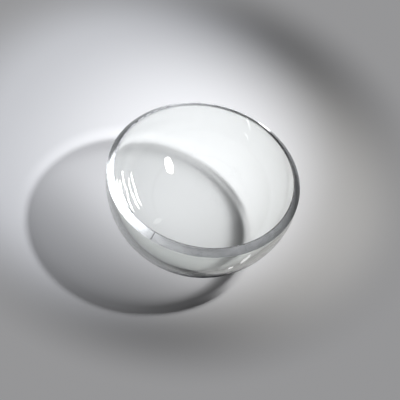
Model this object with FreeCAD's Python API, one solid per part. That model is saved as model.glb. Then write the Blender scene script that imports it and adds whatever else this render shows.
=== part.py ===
"""Glass dome lens: one hemispherical shell of clear glass, standing on its pole.

The two spheres share a centre, so the wall is even and the dome bends a view very little.
The rim is edged to a short cylinder and bevelled outwards, down from a narrow land at the mouth.

Frame: the outer pole is at the origin and +Z runs along the axis, out of the mouth.
All sizes are in millimetres, angles in degrees.
"""
import FreeCAD, Part
import math
import os

# driving sizes
OUTER_DIAMETER = 100.0    # of the outer sphere and of the edged rim
WALL_THICKNESS = 3.5      # between the two spheres
EDGE_HEIGHT = 2.0         # of the cylindrical edge, above the equator
BEVEL_ANGLE = 45.0        # of the bevel, up from the plane of the mouth
LAND_WIDTH = 0.5          # of the level ring left between bevel and mouth, arris included
ARRIS_WIDTH = 0.2         # of the flat that takes the sharpness off the mouth

# what follows from them
OUTER_RADIUS = OUTER_DIAMETER / 2
INNER_RADIUS = OUTER_RADIUS - WALL_THICKNESS
EQUATOR_Z = OUTER_RADIUS
EDGE_TOP_Z = EQUATOR_Z + EDGE_HEIGHT
ARRIS = min(ARRIS_WIDTH, LAND_WIDTH / 2)

AXIS = FreeCAD.Vector(0, 0, 1)


def point(r, z):
    """A point of the section, at radius r and height z."""
    return FreeCAD.Vector(r, 0, z)


def on_sphere(radius, rise):
    """A point on one of the concentric spheres, at a height above the equator."""
    return point(math.sqrt(radius ** 2 - rise ** 2), EQUATOR_Z + rise)


def mouth_rise():
    """Height of the mouth above the equator.

    The bevel runs up and in from the cylindrical edge. It stops where just the land is left
    beside the inner sphere, and that crossing is the lower root of a quadratic.
    """
    run = 1 / math.tan(math.radians(BEVEL_ANGLE))
    reach = OUTER_RADIUS - LAND_WIDTH + EDGE_HEIGHT * run
    a = 1 + run ** 2
    half_b = reach * run
    c = reach ** 2 - INNER_RADIUS ** 2
    return (half_b - math.sqrt(half_b ** 2 - a * c)) / a


def outer_arc():
    """Outer sphere, from the pole out to the equator."""
    middle = on_sphere(OUTER_RADIUS, -OUTER_RADIUS * math.sin(math.pi / 4))
    return Part.Arc(on_sphere(OUTER_RADIUS, -OUTER_RADIUS), middle, on_sphere(OUTER_RADIUS, 0))


def inner_arc(start):
    """Inner sphere, from the arris at the mouth down to the pole."""
    middle = on_sphere(INNER_RADIUS, -INNER_RADIUS * math.sin(math.pi / 4))
    return Part.Arc(start, middle, on_sphere(INNER_RADIUS, -INNER_RADIUS))


def rim_corners():
    """The rim's corners, from the equator up over edge, bevel, land and arris to the bowl."""
    rise = mouth_rise()
    mouth = on_sphere(INNER_RADIUS, rise)
    return [
        on_sphere(OUTER_RADIUS, 0),
        point(OUTER_RADIUS, EDGE_TOP_Z),
        point(mouth.x + LAND_WIDTH, mouth.z),
        point(mouth.x + ARRIS, mouth.z),
        on_sphere(INNER_RADIUS, rise - ARRIS),
    ]


def dome_section():
    """Closed half section of the shell."""
    rim = rim_corners()
    inner = inner_arc(rim[-1])
    outer = outer_arc()
    faces = [Part.makeLine(low, high) for low, high in zip(rim, rim[1:])]
    axis_side = Part.makeLine(inner.EndPoint, outer.StartPoint)
    return Part.Face(Part.Wire([outer.toShape(), *faces, inner.toShape(), axis_side]))


def dome_lens():
    """The whole dome, turned from its section."""
    return dome_section().revolve(FreeCAD.Vector(0, 0, 0), AXIS, 360)


os.makedirs("parts", exist_ok=True)
dome_lens().exportStep("parts/dome_lens.step")
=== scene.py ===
"""Glass dome lens: the clear shell with its finished rim, standing on a pale floor."""
import math

import bmesh
import bpy
from mathutils import Matrix, Vector


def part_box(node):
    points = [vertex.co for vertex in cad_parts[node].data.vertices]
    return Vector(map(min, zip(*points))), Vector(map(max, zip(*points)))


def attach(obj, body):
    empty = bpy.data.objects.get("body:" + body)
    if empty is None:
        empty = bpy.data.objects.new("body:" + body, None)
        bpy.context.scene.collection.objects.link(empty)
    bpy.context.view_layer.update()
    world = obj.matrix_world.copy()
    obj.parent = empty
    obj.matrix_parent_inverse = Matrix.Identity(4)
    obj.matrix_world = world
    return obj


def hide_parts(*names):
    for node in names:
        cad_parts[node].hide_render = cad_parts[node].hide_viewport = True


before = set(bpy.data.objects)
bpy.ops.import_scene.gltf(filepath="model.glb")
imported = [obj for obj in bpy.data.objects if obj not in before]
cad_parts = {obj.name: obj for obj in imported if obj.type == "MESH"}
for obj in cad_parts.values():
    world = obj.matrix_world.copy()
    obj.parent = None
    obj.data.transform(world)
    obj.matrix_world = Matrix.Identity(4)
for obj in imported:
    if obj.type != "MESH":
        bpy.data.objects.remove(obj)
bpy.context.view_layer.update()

# The dome's sizes in metres, from the frame or as in the part's source
LOW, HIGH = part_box("dome_lens")
OUTER_RADIUS = (HIGH[0] - LOW[0]) / 2
WALL_THICKNESS = 0.0035
EDGE_HEIGHT = 0.002
LAND_WIDTH = 0.0005
ARRIS_WIDTH = 0.0002
INNER_RADIUS = OUTER_RADIUS - WALL_THICKNESS
EQUATOR_Z = OUTER_RADIUS
EDGE_TOP_Z = EQUATOR_Z + EDGE_HEIGHT
MOUTH_Z = HIGH[2]
MOUTH_RADIUS = math.sqrt(INNER_RADIUS ** 2 - (MOUTH_Z - EQUATOR_Z) ** 2)
CENTRE = Vector((0, 0, EQUATOR_Z))

# How far polishing leaves the bevel rounded
CROWN = 0.00012
CROWN_STEPS = 8

# How finely the section is turned, from which angle an edge stays sharp, and what counts as on the axis
TURNS = 440
ARC_STEPS = 104
SHARP = math.radians(12)
ON_AXIS = 1e-7

# Camera
LENS = 180.0
SENSOR = 36.0
FRAME_SIDE = 400
CLIP = (0.05, 20)
ELEVATION = math.radians(51.96)
ROLL = math.radians(13.50)
DISTANCE = 1.0227
AIM = Vector((0.00076, -0.00902, 0.04494))
BACK = Vector((0, -math.cos(ELEVATION), math.sin(ELEVATION)))
LEVEL = Vector((1, 0, 0))
RISE = BACK.cross(LEVEL)
RIGHT = math.cos(ROLL) * LEVEL + math.sin(ROLL) * RISE
UP = math.cos(ROLL) * RISE - math.sin(ROLL) * LEVEL
EYE = AIM + DISTANCE * BACK

# The lamp that throws the shadow, and its two beams: aim on the floor, width, power and colour
KEY_AT = Vector((0.176, 0.0, 0.3625))
KEY_RADIUS = 0.012
KEY_BEAMS = (
    ("pool", (-0.0769, 0.0572, 0), math.radians(39.4), 8.0, (0.92, 0.938, 0.98)),
    ("spill", (0.0354, 0.0355, 0), math.radians(35.2), 3.0, (1.0, 0.985, 0.95)),
)

# Small lamps that only the glass mirrors: ends and width of the reflection in pixels, and strength
BOWL_GLINTS = (
    ("highlight", (167.2, 157.2), (171.2, 174.2), 8.2, 30.0),
    ("streak_a", (121.6, 171.5), (125.6, 191.0), 0.9, 25.0),
    ("streak_b", (124.8, 187.0), (132.8, 213.5), 1.1, 25.0),
    ("streak_c", (118.6, 184.0), (124.6, 203.0), 2.4, 25.0),
    ("streak_d", (123.5, 199.0), (130.4, 213.5), 1.6, 25.0),
    ("streak_e", (127.2, 177.5), (134.2, 202.0), 1.3, 25.0),
    ("streak_f", (130.4, 172.5), (135.6, 191.0), 1.4, 25.0),
    ("streak_g", (132.6, 195.0), (138.8, 209.5), 1.5, 25.0),
    ("streak_h", (134.4, 188.0), (140.4, 206.0), 1.5, 25.0),
    ("streak_i", (119.8, 180.0), (121.8, 188.0), 0.6, 25.0),
    ("smudge", (154.0, 222.0), (162.0, 219.5), 5.0, 1.6),
    ("faint_a", (246.5, 117.5), (250.6, 130.5), 1.6, 3.0),
    ("faint_b", (244.8, 132.5), (248.8, 140.5), 1.4, 3.0),
)
WALL_GLINTS = (
    ("wall_a", (251.5, 254.5), (240.0, 264.0), 2.2, 3.0),
    ("wall_b", (233.5, 266.5), (228.0, 269.0), 1.4, 3.0),
)

# How far from the glass these lamps are, and how far from that a mirrored ray's length may be, as a share
GLINT_REACH = 0.006
GLINT_TOLERANCE = 0.85

# All bearings are in degrees from +X about the dome's axis.
# What the bevel mirrors, as strengths by bearing: the room, then the floor, which glows with its strengths
# only in the bevel's reflections, a painted reflection with a glint in it
ROOM_STOPS = (
    (-180, 18.0), (-160, 13.0), (-150, 9.0), (-143, 7.0), (-136, 5.6), (-129, 4.2), (-119, 3.3), (-108, 2.9),
    (-86, 2.0), (-62, 1.8), (-39, 1.95), (4, 1.95), (38, 1.4),
    (70, 0.7), (120, 0.8), (133, 1.4), (138, 5.0), (146, 16.0), (180, 18.0),
)
FLOOR_GLOW_STOPS = (
    (-180, 6.0), (-150, 1.0), (-90, 0.4), (0, 0.45), (38, 0.40), (60, 0.30), (70.5, 0.5), (71.5, 5.0),
    (74.5, 5.0), (76, 1.1), (106, 1.1), (116, 0.7), (134, 0.6), (147, 1.2), (153, 8.0), (180, 15.0),
)
MIRROR_COLOUR = (0.935, 0.965, 1.0, 1)

# How the mirrored room changes from level (0) to straight up (1), as shares of a peak
RISE_STOPS = ((0.0, 0.26), (0.5, 0.9), (0.64, 0.9), (0.78, 0.5), (1.0, 0.5))
RISE_PEAK = 1.5

# The highest level that stops by bearing may have: the colour ramp holds them as shares of it
BEARING_PEAK = 20.0

# The room as light on the floor, and as the eye sees it
FILL = 0.05
FILL_COLOUR = (0.96, 0.97, 1.0, 1)
ROOM_PALE = 0.31
ROOM_COLOUR = (0.98, 0.98, 1.0, 1)

# The floor: half its side, its colour, and the place around which it fades into the room, over which reach
FLOOR_HALF = 3.0
FLOOR_COLOUR = (0.80, 0.80, 0.81, 1)
FLOOR_MIDDLE = (-0.02, 0.05, 0)
FLOOR_FADE = (0.095, 0.150)

# Painted light: the floor's colour is paler in an arc where the rim throws light beyond its shadow
# The pale arc beyond the shadow: its colour, its centre, how far its edges and middle are, its bearings
PAINTED_ARC_COLOUR = (0.91, 0.91, 0.92, 1)
ARC_CENTRE = (-0.0269, 0.0020, 0)
ARC_REACH = (0.0565, 0.0615, 0.0690)
ARC_STOPS = ((-180, 0.3), (-160, 0.0), (55, 0.0), (85, 0.4), (110, 0.9), (130, 1.0), (160, 1.0), (180, 0.3))

# Glass: its index, its tint, and how far from the dome's centre its outside starts
IOR = 1.517
GLASS_TINT = (0.982, 1.0, 0.980)
OUTSIDE_FROM = INNER_RADIUS + 0.0003

# How much light a surface lets by on its way to the floor, from face on (0) to edge on (1):
# where the shadow is light, where it is dark, and where its dark ring is drawn in
LIGHT_SIDE = ((0.0, 0.885), (0.4, 0.86), (0.60, 0.76), (0.75, 0.68), (0.90, 0.65), (1.0, 0.70))
DARK_SIDE = (
    (0.0, 0.885), (0.35, 0.875), (0.42, 0.83), (0.49, 0.60), (0.57, 0.34), (0.63, 0.20), (0.74, 0.09),
    (1.0, 0.04),
)
DRAWN_IN_SIDE = (
    (0.0, 0.885), (0.30, 0.86), (0.36, 0.75), (0.43, 0.51), (0.50, 0.30), (0.58, 0.24), (0.63, 0.44),
    (0.69, 0.84), (1.0, 0.95),
)

# By bearing, how far the dark levels take over from the light ones, and the drawn-in ones from the dark ones
DARK_STOPS = (
    (-180, 0.0), (-125, 0.0), (-100, 0.3), (-80, 0.8), (-62, 1.0), (26, 1.0), (38, 0.75), (60, 0.15),
    (85, 0.0), (180, 0.0),
)
DRAWN_IN_STOPS = (
    (-180, 0.0), (-58, 0.0), (-50, 0.15), (-40, 0.6), (-30, 1.0), (24, 1.0), (62, 0.0), (180, 0.0),
)

# The bearing towards which surfaces let less light by, over which distances from the axis, and down to what
DIMMING_BEARING = math.radians(-125)
DIMMING_REACH = (0.0, 0.045)
DIMMING_LEVEL = 0.78

# Painted shade: how the outer wall's colour darkens from white face on to black edge on, and how far it does
# by bearing
WHITE = (1, 1, 1, 1)
EDGE_ON_SHADE_STOPS = ((0.0, 1.0), (0.70, 1.0), (0.84, 0.65), (0.92, 0.10), (1.0, 0.0))
EDGE_ON_SHADE_BEARINGS = ((-180, 0.0), (-150, 0.0), (-116, 1.0), (120, 1.0), (150, 0.0), (180, 0.0))

# Painted shade: the dark line under the front outline, where the wall is seen edge on over its shadow: its
# colour, how far edge on it starts and is full, and its bearings
OUTLINE_SHADE_COLOUR = (0.28, 0.28, 0.30, 1)
OUTLINE_BAND = (0.72, 0.90)
OUTLINE_STOPS = (
    (-180, 0.0), (-106, 0.0), (-88, 0.8), (-76, 1.0), (-64, 1.0), (-54, 0.5), (-44, 0.0), (180, 0.0),
)

# Painted light and shade: how light the bevel is as seen from inside the wall, by bearing
INSIDE_LIGHT_AND_SHADE_STOPS = (
    (-180, 0.7), (-120, 0.5), (-60, 0.4), (-10, 0.15), (50, 0.15), (60, 0.9), (100, 0.93), (130, 0.90),
    (155, 0.90), (180, 0.8),
)

# How much the rim is rubbed, by bearing: wear, and painted light too, as the white powder is heaviest on the
# left, where the rim is to look lit, and least on the right, where it is to look dark
RUBBED_AND_LIT_STOPS = (
    (-180, 1.0), (-125, 1.0), (-110, 0.2), (-60, 0.3), (-30, 0.1), (60, 0.0), (100, 0.4), (150, 0.8),
    (180, 1.0),
)

# The heights between which wear sets in at the rim's top, and how far wear reaches from the bevel's foot
WORN_TOP = (MOUTH_Z - 0.00025, MOUTH_Z - 0.00005)
WORN_FOOT = 0.00012

# The nick across the bevel: its bearing and half its width in degrees, and its colour
NICK_BEARING = -111.7
NICK_HALF_WIDTH = 0.324
NICK_COLOUR = (0.54, 0.53, 0.60, 1)

# Wiped marks and dust on the spheres: how rough the marks are, and how far dust covers marks and specks
WIPED_ROUGHNESS = 0.003
DUST_ON_MARKS = 0.05
DUST_IN_SPECKS = 0.20
DUST_COLOUR = (0.88, 0.88, 0.90, 1)

# The bevel and the land: colours, the bevel's roughness where it is ground finest and coarsest, and its coat
BEVEL_COLOUR = (0.85, 0.86, 0.88, 1)
LAND_COLOUR = (0.92, 0.93, 0.95, 1)
BEVEL_ROUGHNESS = (0.08, 0.18)
COAT = {"Coat IOR": 1.9, "Coat Roughness": 0.12}
COAT_WEIGHTS = (0.72, 1.0)

# Powder on the worn edges: how rough the bevel is there, how far powder covers both, and its colours
WORN_ROUGHNESS = 0.45
POWDER_ON_BEVEL = 0.7
POWDER_ON_LAND = 0.9
BEVEL_POWDER = (0.85, 0.86, 0.90, 1)
LAND_POWDER = (0.90, 0.91, 0.94, 1)

# Relief as strength and depth: the waves of the spheres, the pits of the land and the marks of the bevel
WAVES = (0.25, 0.00002)
PITS = (0.5, 0.00001)
MARKS = (0.5, 0.000004)

# Cells of the grinding marks to the metre, along each axis: few along the rim and many up it
MARK_CELLS = (60, 60, 4200)

# The levels of its noise between which each effect sets in
EVEN_BAND = (0.3, 0.7)
PATCH_BAND = (0.60, 0.72)
STREAK_BAND = (0.45, 0.75)
SPECK_BAND = (0.80, 0.84)
POWDER_BAND = (0.36, 0.50)


# Node helpers

def new_material(name):
    """A material with its nodes cleared, and its tree."""
    material = bpy.data.materials.new(name)
    material.use_nodes = True
    tree = material.node_tree
    tree.nodes.clear()
    return material, tree


def node(tree, kind, settings=(), inputs=()):
    """A node with its settings and input values; a socket given as a value is linked."""
    made = tree.nodes.new(kind)
    for name, value in dict(settings).items():
        setattr(made, name, value)
    for key, value in dict(inputs).items():
        if isinstance(value, bpy.types.NodeSocket):
            tree.links.new(value, made.inputs[key])
        else:
            made.inputs[key].default_value = value
    return made


def maths(tree, operation, *values):
    """The result of an operation on values."""
    return node(tree, "ShaderNodeMath", {"operation": operation}, dict(enumerate(values))).outputs[0]


def vector_maths(tree, operation, *values):
    """The outputs of an operation on vectors: a vector or a value."""
    return node(tree, "ShaderNodeVectorMath", {"operation": operation}, dict(enumerate(values))).outputs


def product(tree, first, second):
    """Two values multiplied."""
    return maths(tree, "MULTIPLY", first, second)


def larger(tree, first, second):
    """The larger of two values."""
    return maths(tree, "MAXIMUM", first, second)


def without(tree, value):
    """What a value leaves of 1."""
    return maths(tree, "SUBTRACT", 1.0, value)


def ramp(tree, factor, stops):
    """A colour ramp of (share of the way, grey level) stops."""
    made = node(tree, "ShaderNodeValToRGB", inputs={0: factor})
    elements = made.color_ramp.elements
    while len(elements) < len(stops):
        elements.new(0.5)
    for element, (share, level) in zip(elements, stops):
        element.position = share
        element.color = (level, level, level, 1)
    return made.outputs["Color"]


def blend(tree, factor, first, second):
    """One colour going over into another."""
    return node(tree, "ShaderNodeMix", {"data_type": "RGBA"}, {0: factor, 6: first, 7: second}).outputs[2]


def band(tree, value, low, high, start=0.0, end=1.0):
    """A value that goes smoothly from one level to another between two bounds."""
    made = node(tree, "ShaderNodeMapRange", {"interpolation_type": "SMOOTHSTEP"},
                {0: value, 1: low, 2: high, 3: start, 4: end})
    return made.outputs[0]


def noise(tree, vector, cells, detail, roughness=0.5):
    """Soft noise over a vector, with so many cells to each unit of it."""
    made = node(tree, "ShaderNodeTexNoise", inputs={"Vector": vector, "Scale": cells, "Detail": detail,
                                                    "Roughness": roughness})
    return made.outputs["Fac"]


def position(tree):
    """The place that a ray meets, in the scene's axes."""
    return node(tree, "ShaderNodeNewGeometry").outputs["Position"]


def place_on_piece(tree):
    """The place that a ray meets, in the piece's own axes."""
    return node(tree, "ShaderNodeTexCoord").outputs["Object"]


def edge_on(tree):
    """How far a surface is turned away from a ray, from 0 for face on to 1 for edge on."""
    return node(tree, "ShaderNodeLayerWeight", inputs={"Blend": 0.5}).outputs["Facing"]


def rays(tree):
    """What is known of the ray: its kind, its length and how often it was mirrored."""
    return node(tree, "ShaderNodeLightPath").outputs


def distance(tree, place, point):
    """How far a place is from a fixed point."""
    return vector_maths(tree, "DISTANCE", place, point)["Value"]


def upward(tree, vector):
    """The upward part of a vector."""
    return node(tree, "ShaderNodeSeparateXYZ", inputs={0: vector}).outputs["Z"]


def bearing(tree, vector):
    """The bearing of a vector about the dome's axis, as a share of a turn from -X."""
    around = node(tree, "ShaderNodeTexGradient", {"gradient_type": "RADIAL"}, {"Vector": vector})
    return around.outputs["Fac"]


def turn_share(degrees):
    """A bearing in degrees from +X, as a share of a turn from -X."""
    return degrees / 360 + 0.5


def by_bearing(tree, vector, stops):
    """A level by the bearing of a vector about the dome's axis."""
    shares = [(turn_share(degrees), level / BEARING_PEAK) for degrees, level in stops]
    return product(tree, ramp(tree, bearing(tree, vector), shares), BEARING_PEAK)


def relief(tree, height, strength, depth):
    """A surface's relief, from a height between 0 and 1."""
    made = node(tree, "ShaderNodeBump", inputs={"Strength": strength, "Distance": depth, "Height": height})
    return made.outputs["Normal"]


def diffuse(tree, colour):
    """A matt shader."""
    return node(tree, "ShaderNodeBsdfDiffuse", inputs={"Color": colour}).outputs[0]


def see_through(tree, colour):
    """A shader that colours light and lets it straight through."""
    return node(tree, "ShaderNodeBsdfTransparent", inputs={"Color": colour}).outputs[0]


def glow(tree, colour, strength):
    """A shader that gives off light."""
    return node(tree, "ShaderNodeEmission", inputs={"Color": colour, "Strength": strength}).outputs[0]


def glass(tree, colour, roughness, normal, coat=()):
    """Glass of a colour, a roughness and a relief, with or without a coat."""
    inputs = {"Base Color": colour, "Roughness": roughness, "IOR": IOR, "Transmission Weight": 1.0,
              "Normal": normal}
    inputs.update(coat)
    return node(tree, "ShaderNodeBsdfPrincipled", inputs=inputs).outputs[0]


def over(tree, factor, first, second):
    """One shader going over into another."""
    return node(tree, "ShaderNodeMixShader", inputs={0: factor, 1: first, 2: second}).outputs[0]


def finish_surface(tree, shader):
    """Connects a shader to the material's output."""
    node(tree, "ShaderNodeOutputMaterial", inputs={"Surface": shader})


# Light on its way to the floor

def on_the_outside(tree):
    """Whether a place is off the inner sphere, and so on the outside of the shell or on its rim."""
    return maths(tree, "GREATER_THAN", distance(tree, position(tree), CENTRE), OUTSIDE_FROM)


def darker_side(tree, place):
    """How far a place on the outside of the shell lies towards the side that throws the darkest shadow."""
    return product(tree, by_bearing(tree, place, DARK_STOPS), on_the_outside(tree))


def dimming_side(tree, place):
    """The share of light that a surface lets by, less towards the side where the shadow dims."""
    towards = (math.cos(DIMMING_BEARING), math.sin(DIMMING_BEARING), 0)
    along = vector_maths(tree, "DOT_PRODUCT", place, towards)["Value"]
    return band(tree, along, *DIMMING_REACH, 1.0, DIMMING_LEVEL)


def share_let_by(tree):
    """The share of light that goes by a surface: less where it is edge on, by levels for each side."""
    place = position(tree)
    turned = edge_on(tree)
    drawn_in = by_bearing(tree, place, DRAWN_IN_STOPS)
    dark = blend(tree, drawn_in, ramp(tree, turned, DARK_SIDE), ramp(tree, turned, DRAWN_IN_SIDE))
    share = blend(tree, darker_side(tree, place), ramp(tree, turned, LIGHT_SIDE), dark)
    return product(tree, share, dimming_side(tree, place))


def lets_light_by(tree, shader):
    """Finishes glass: a shader for the eye, while light on its way to the floor goes straight through."""
    ray = rays(tree)
    to_floor = larger(tree, ray["Is Shadow Ray"], ray["Is Diffuse Ray"])
    finish_surface(tree, over(tree, to_floor, shader, see_through(tree, share_let_by(tree))))


# Materials of the glass

def tint_and_edge_on_shade(tree, place):
    """The tint of the spheres' glass, with painted shade: darker on the outside where it is seen edge on."""
    shaded = product(tree, on_the_outside(tree), by_bearing(tree, place, EDGE_ON_SHADE_BEARINGS))
    # The colour goes over into painted shade towards edge on
    depth = blend(tree, shaded, WHITE, ramp(tree, edge_on(tree), EDGE_ON_SHADE_STOPS))
    return vector_maths(tree, "MULTIPLY", depth, GLASS_TINT)[0]


def painted_outline_shade(tree, place):
    """How far the outer wall goes over into the painted shade of the dark line under the front outline."""
    at_the_edge = product(tree, band(tree, edge_on(tree), *OUTLINE_BAND), on_the_outside(tree))
    return product(tree, at_the_edge, by_bearing(tree, place, OUTLINE_STOPS))


def wiped_marks(tree, place):
    """Marks that a cloth has left: fine streaks within wide patches."""
    patches = band(tree, noise(tree, place, cells=45, detail=3), *PATCH_BAND)
    streaks = band(tree, noise(tree, place, cells=900, detail=2), *STREAK_BAND)
    return product(tree, patches, streaks)


def dust(tree, place, wiped):
    """How far dust covers a place: a little on the wiped marks, more in specks."""
    specks = band(tree, noise(tree, place, cells=1500, detail=1), *SPECK_BAND)
    return larger(tree, product(tree, wiped, DUST_ON_MARKS), product(tree, specks, DUST_IN_SPECKS))


def clear_glass():
    """Polished glass of the two spheres, with wiped marks, specks of dust and a slightly uneven surface."""
    material, tree = new_material("clear_glass")
    place = place_on_piece(tree)
    wiped = wiped_marks(tree, place)
    waves = relief(tree, noise(tree, place, cells=60, detail=2), *WAVES)
    polished = glass(tree, tint_and_edge_on_shade(tree, place), product(tree, wiped, WIPED_ROUGHNESS), waves)
    wall = over(tree, painted_outline_shade(tree, place), polished, see_through(tree, OUTLINE_SHADE_COLOUR))
    lets_light_by(tree, over(tree, dust(tree, place, wiped), wall, diffuse(tree, DUST_COLOUR)))
    return material


def worn_edges(tree, place):
    """Where the rim is rubbed and chipped, in patches: its top and the foot of the bevel, most on the left,
    where its white powder also stands in for light.
    """
    height = upward(tree, place)
    foot = maths(tree, "COMPARE", height, EDGE_TOP_Z, WORN_FOOT)
    edges = larger(tree, band(tree, height, *WORN_TOP), foot)
    handled = product(tree, edges, by_bearing(tree, place, RUBBED_AND_LIT_STOPS))
    patches = band(tree, noise(tree, place, cells=420, detail=4, roughness=0.7), *POWDER_BAND)
    return product(tree, handled, patches)


def edge_glass():
    """Glass of the land and its arris, rubbed to powder where the rim has been handled."""
    material, tree = new_material("edge_glass")
    place = place_on_piece(tree)
    pits = relief(tree, noise(tree, place, cells=900, detail=3), *PITS)
    land = glass(tree, LAND_COLOUR, roughness=0.0, normal=pits)
    powdered = product(tree, worn_edges(tree, place), POWDER_ON_LAND)
    lets_light_by(tree, over(tree, powdered, land, diffuse(tree, LAND_POWDER)))
    return material


def grinding_marks(tree, place):
    """Fine marks that run round the rim: noise drawn out along it."""
    drawn_out = vector_maths(tree, "MULTIPLY", place, MARK_CELLS)[0]
    return noise(tree, drawn_out, cells=1, detail=3, roughness=0.6)


def nick(tree, place):
    """A thin line across the bevel at the front left, where a flake has gone."""
    return maths(tree, "COMPARE", bearing(tree, place), turn_share(NICK_BEARING), NICK_HALF_WIDTH / 360)


def polish(tree, place):
    """The weight of the bevel's coat: uneven, and none in the nick."""
    uneven = band(tree, noise(tree, place, cells=260, detail=3), *EVEN_BAND, *COAT_WEIGHTS)
    return product(tree, without(tree, nick(tree, place)), uneven)


def ground_glass(tree, place, worn):
    """The bevel as seen from outside: ground along the rim, with a coat of polish."""
    marks = grinding_marks(tree, place)
    ground = band(tree, marks, *EVEN_BAND, *BEVEL_ROUGHNESS)
    roughness = larger(tree, ground, product(tree, worn, WORN_ROUGHNESS))
    colour = blend(tree, nick(tree, place), BEVEL_COLOUR, NICK_COLOUR)
    coat = {"Coat Weight": polish(tree, place), **COAT}
    return glass(tree, colour, roughness, relief(tree, marks, *MARKS), coat)


def rim_glass():
    """Fine-ground glass of the bevel, with rubbed edges; seen from inside the wall it shows painted light
    and shade by bearing.
    """
    material, tree = new_material("rim_glass")
    place = place_on_piece(tree)
    worn = worn_edges(tree, place)
    # Painted light and shade: the bevel seen from inside, lighter or darker by bearing
    inside_painted_levels = see_through(tree, by_bearing(tree, place, INSIDE_LIGHT_AND_SHADE_STOPS))
    inside = node(tree, "ShaderNodeNewGeometry").outputs["Backfacing"]
    bevel = over(tree, inside, ground_glass(tree, place, worn), inside_painted_levels)
    powdered = product(tree, worn, POWDER_ON_BEVEL)
    lets_light_by(tree, over(tree, powdered, bevel, diffuse(tree, BEVEL_POWDER)))
    return material


# Objects

def in_scene(name, data):
    """An object made of some data, in the scene."""
    made = bpy.data.objects.new(name, data)
    bpy.context.scene.collection.objects.link(made)
    return made


def stand(made, place, axes):
    """Puts an object at a place, with its X, Y and Z along three directions."""
    made.matrix_world = Matrix.Translation(place) @ Matrix(axes).transposed().to_4x4()


# The dome

def arc(radius, start, end):
    """Points (radius, height) along a sphere about the dome's centre, by angle from the lower pole."""
    angles = [start + (end - start) * step / ARC_STEPS for step in range(ARC_STEPS + 1)]
    return [(radius * math.sin(a), EQUATOR_Z - radius * math.cos(a)) for a in angles]


def angle_to(radius, height):
    """Angle from the lower pole at which a sphere reaches a height."""
    return math.acos((EQUATOR_Z - height) / radius)


def ring(bm, r, z):
    """One turn of vertices, or the single one on the axis."""
    if r < ON_AXIS:
        return [bm.verts.new((0, 0, z))]
    turns = [2 * math.pi * k / TURNS for k in range(TURNS)]
    return [bm.verts.new((r * math.cos(t), r * math.sin(t), z)) for t in turns]


def lathe(name, runs, materials):
    """A closed mesh turned from runs of (radius, height) points, each with its material."""
    bm = bmesh.new()
    rings = [(ring(bm, *runs[0][0][0]), 0)]
    for run, slot in runs:
        rings += [(ring(bm, r, z), slot) for r, z in run[1:]]
    for (low, _), (high, slot) in zip(rings, rings[1:]):
        for k in range(TURNS):
            n = (k + 1) % TURNS
            corners = [low[k % len(low)], low[n % len(low)], high[n % len(high)], high[k % len(high)]]
            face = bm.faces.new(list(dict.fromkeys(corners)))
            face.material_index = slot
            face.smooth = True
    bm.normal_update()
    for edge in bm.edges:
        edge.smooth = edge.calc_face_angle(0) < SHARP
    mesh = bpy.data.meshes.new(name)
    bm.to_mesh(mesh)
    bm.free()
    for material in materials:
        mesh.materials.append(material)
    return in_scene(name, mesh)


def crowned(start, end):
    """Points from one corner of the section to the next, swelling a little between them."""
    points = []
    for step in range(CROWN_STEPS + 1):
        t = step / CROWN_STEPS
        swell = 4 * CROWN * t * (1 - t) / math.sqrt(2)
        points.append(tuple(a + (b - a) * t + swell for a, b in zip(start, end)))
    return points


def dome():
    """The shell: outer sphere, cylindrical edge, bevel, land with its arris, inner sphere."""
    outer = arc(OUTER_RADIUS, 0, math.pi / 2)
    inner = arc(INNER_RADIUS, angle_to(INNER_RADIUS, MOUTH_Z - ARRIS_WIDTH), 0)
    edge = [outer[-1], (OUTER_RADIUS, EDGE_TOP_Z)]
    bevel = crowned(edge[-1], (MOUTH_RADIUS + LAND_WIDTH, MOUTH_Z))
    land = [bevel[-1], (MOUTH_RADIUS + ARRIS_WIDTH, MOUTH_Z), inner[0]]
    piece = lathe("dome_glass", [(outer, 0), (edge, 0), (bevel, 1), (land, 2), (inner, 0)],
                  [clear_glass(), rim_glass(), edge_glass()])
    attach(piece, "root")
    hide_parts("dome_lens")


# Small lamps that the glass mirrors

def sight(x, y):
    """Direction from the camera through a point of the frame, in pixels from its top left corner."""
    reach = SENSOR / LENS / FRAME_SIDE
    aside = (x - FRAME_SIDE / 2) * reach * RIGHT - (y - FRAME_SIDE / 2) * reach * UP
    return (aside - BACK).normalized()


def mirrored(direction, normal):
    """A direction after reflection."""
    return direction - 2 * direction.dot(normal) * normal


def in_sphere(x, y, reach, inside):
    """The point, a reach away, that the bowl inside or the wall outside mirrors at a point of the frame."""
    ray = sight(x, y)
    offset = EYE - CENTRE
    radius = INNER_RADIUS if inside else OUTER_RADIUS
    half_chord = math.sqrt(max(0.0, offset.dot(ray) ** 2 - offset.length_squared + radius ** 2))
    point = EYE + (half_chord * (1 if inside else -1) - offset.dot(ray)) * ray
    return point + reach * mirrored(ray, (point - CENTRE).normalized())


def across_to(vector, axis):
    """The part of a vector that lies across an axis."""
    return vector - vector.dot(axis) * axis


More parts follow.
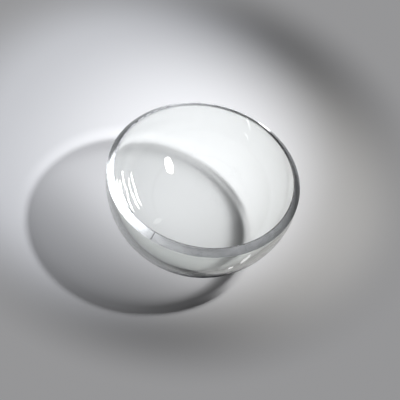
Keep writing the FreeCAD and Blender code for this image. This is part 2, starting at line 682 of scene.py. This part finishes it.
def glint_lamp(name, start, end, wide, strength, inside):
    """A small oval lamp whose reflection lies between two points of the frame."""
    middle = ((start[0] + end[0]) / 2, (start[1] + end[1]) / 2)
    along = Vector((end[0] - start[0], end[1] - start[1]))
    across = Vector((-along.y, along.x)).normalized() * wide / 2
    sides = [(middle[0] - across.x, middle[1] - across.y), (middle[0] + across.x, middle[1] + across.y)]
    left, right, top, bottom = [in_sphere(*spot, GLINT_REACH, inside) for spot in (*sides, start, end)]
    centre = in_sphere(*middle, GLINT_REACH, inside)
    back = (centre - in_sphere(*middle, 0.0, inside)).normalized()
    up = across_to(top - bottom, back)
    side = up.normalized().cross(back)
    light = bpy.data.lights.new(name, "AREA")
    light.shape = "ELLIPSE"
    light.size = abs((right - left).dot(side))
    light.size_y = up.length
    # The power that gives an oval this strength: pi times its area for each unit
    light.energy = strength * math.pi * light.size * light.size_y * math.pi / 4
    only_near(light)
    made = in_scene(name, light)
    stand(made, centre, (side, back.cross(side), back))
    made.visible_camera = False
    made.visible_diffuse = False
    made.visible_transmission = False


def only_near(light):
    """Lets a lamp shine only into mirrored rays that have come about as far as its reach."""
    light.use_nodes = True
    tree = light.node_tree
    ray = rays(tree)
    near = maths(tree, "COMPARE", ray["Ray Length"], GLINT_REACH, GLINT_REACH * GLINT_TOLERANCE)
    seen = maths(tree, "MINIMUM", ray["Glossy Depth"], near)
    tree.links.new(seen, tree.nodes["Emission"].inputs["Strength"])


# Floor, lamp, camera and room

def in_the_rim(tree):
    """Whether a ray was mirrored by ground glass, that is neither sharply nor by the floor."""
    ray = rays(tree)
    by_glass = maths(tree, "SUBTRACT", ray["Is Reflection Ray"], ray["Is Diffuse Ray"])
    return product(tree, by_glass, without(tree, ray["Is Singular Ray"]))


def painted_thrown_light(tree, place):
    """How far the floor goes over into the pale arc beyond the shadow: light that the rim throws, painted
    into the floor's colour.
    """
    away = distance(tree, place, ARC_CENTRE)
    inner, middle, outer = ARC_REACH
    across = product(tree, band(tree, away, inner, middle), band(tree, away, middle, outer, 1.0, 0.0))
    from_centre = vector_maths(tree, "SUBTRACT", place, ARC_CENTRE)[0]
    return product(tree, across, by_bearing(tree, from_centre, ARC_STOPS))


def floor_material():
    """Pale matt floor that fades into the room; in the bevel's reflections it glows instead, a painted
    reflection with levels of its own.
    """
    material, tree = new_material("floor")
    place = position(tree)
    # The floor's colour, with the arc of light painted into it
    pale = diffuse(tree, blend(tree, painted_thrown_light(tree, place), FLOOR_COLOUR, PAINTED_ARC_COLOUR))
    far = band(tree, distance(tree, place, FLOOR_MIDDLE), *FLOOR_FADE)
    seen = over(tree, far, pale, glow(tree, ROOM_COLOUR, ROOM_PALE))
    # Painted reflection: the glow that only the bevel sees, by bearing
    levels = glow(tree, MIRROR_COLOUR, by_bearing(tree, place, FLOOR_GLOW_STOPS))
    finish_surface(tree, over(tree, in_the_rim(tree), seen, levels))
    return material


def floor():
    """A wide pale floor."""
    mesh = bpy.data.meshes.new("floor")
    signs = ((-1, -1), (1, -1), (1, 1), (-1, 1))
    mesh.from_pydata([(x * FLOOR_HALF, y * FLOOR_HALF, 0) for x, y in signs], [], [(0, 1, 2, 3)])
    mesh.materials.append(floor_material())
    in_scene("floor", mesh)


def key_lamp(name, aim, cone, power, colour):
    """One beam of the near lamp that pools light around the dome and throws its shadow."""
    light = bpy.data.lights.new(name, "SPOT")
    light.shadow_soft_size = KEY_RADIUS
    light.energy = power
    light.color = colour
    light.spot_size = cone
    light.spot_blend = 1.0
    made = in_scene(name, light)
    made.location = KEY_AT
    made.rotation_mode = "QUATERNION"
    made.rotation_quaternion = (Vector(aim) - KEY_AT).to_track_quat("-Z", "Y")
    made.visible_glossy = False
    made.visible_transmission = False


def camera():
    """The camera, turned about its own axis by the roll."""
    data = bpy.data.cameras.new("camera")
    data.lens = LENS
    data.sensor_width = SENSOR
    data.clip_start, data.clip_end = CLIP
    made = in_scene("camera", data)
    stand(made, EYE, (RIGHT, UP, BACK))
    bpy.context.scene.camera = made


def mirrored_room(tree):
    """Strength of the room that the bevel mirrors, by bearing and by height."""
    towards = node(tree, "ShaderNodeTexCoord").outputs["Generated"]
    rise = product(tree, ramp(tree, upward(tree, towards), RISE_STOPS), RISE_PEAK)
    return product(tree, by_bearing(tree, towards, ROOM_STOPS), rise)


def surroundings():
    """Dim light on the floor from all around, a pale room to see, and the room that the bevel mirrors."""
    world = bpy.data.worlds.new("world")
    world.use_nodes = True
    tree = world.node_tree
    tree.nodes.clear()
    from_floor = rays(tree)["Is Diffuse Ray"]
    in_rim = in_the_rim(tree)
    direct = node(tree, "ShaderNodeMapRange", inputs={0: from_floor, 3: ROOM_PALE, 4: FILL}).outputs[0]
    strength = node(tree, "ShaderNodeMix", {"data_type": "FLOAT"},
                    {0: in_rim, 2: direct, 3: mirrored_room(tree)}).outputs[0]
    colour = blend(tree, in_rim, blend(tree, from_floor, ROOM_COLOUR, FILL_COLOUR), MIRROR_COLOUR)
    light = node(tree, "ShaderNodeBackground", inputs={"Color": colour, "Strength": strength})
    node(tree, "ShaderNodeOutputWorld", inputs={"Surface": light.outputs[0]})
    bpy.context.scene.world = world


dome()
floor()
for beam in KEY_BEAMS:
    key_lamp(*beam)
for glint in BOWL_GLINTS:
    glint_lamp(*glint, inside=True)
for glint in WALL_GLINTS:
    glint_lamp(*glint, inside=False)
camera()
surroundings()
bpy.context.scene.view_settings.view_transform = "Standard"
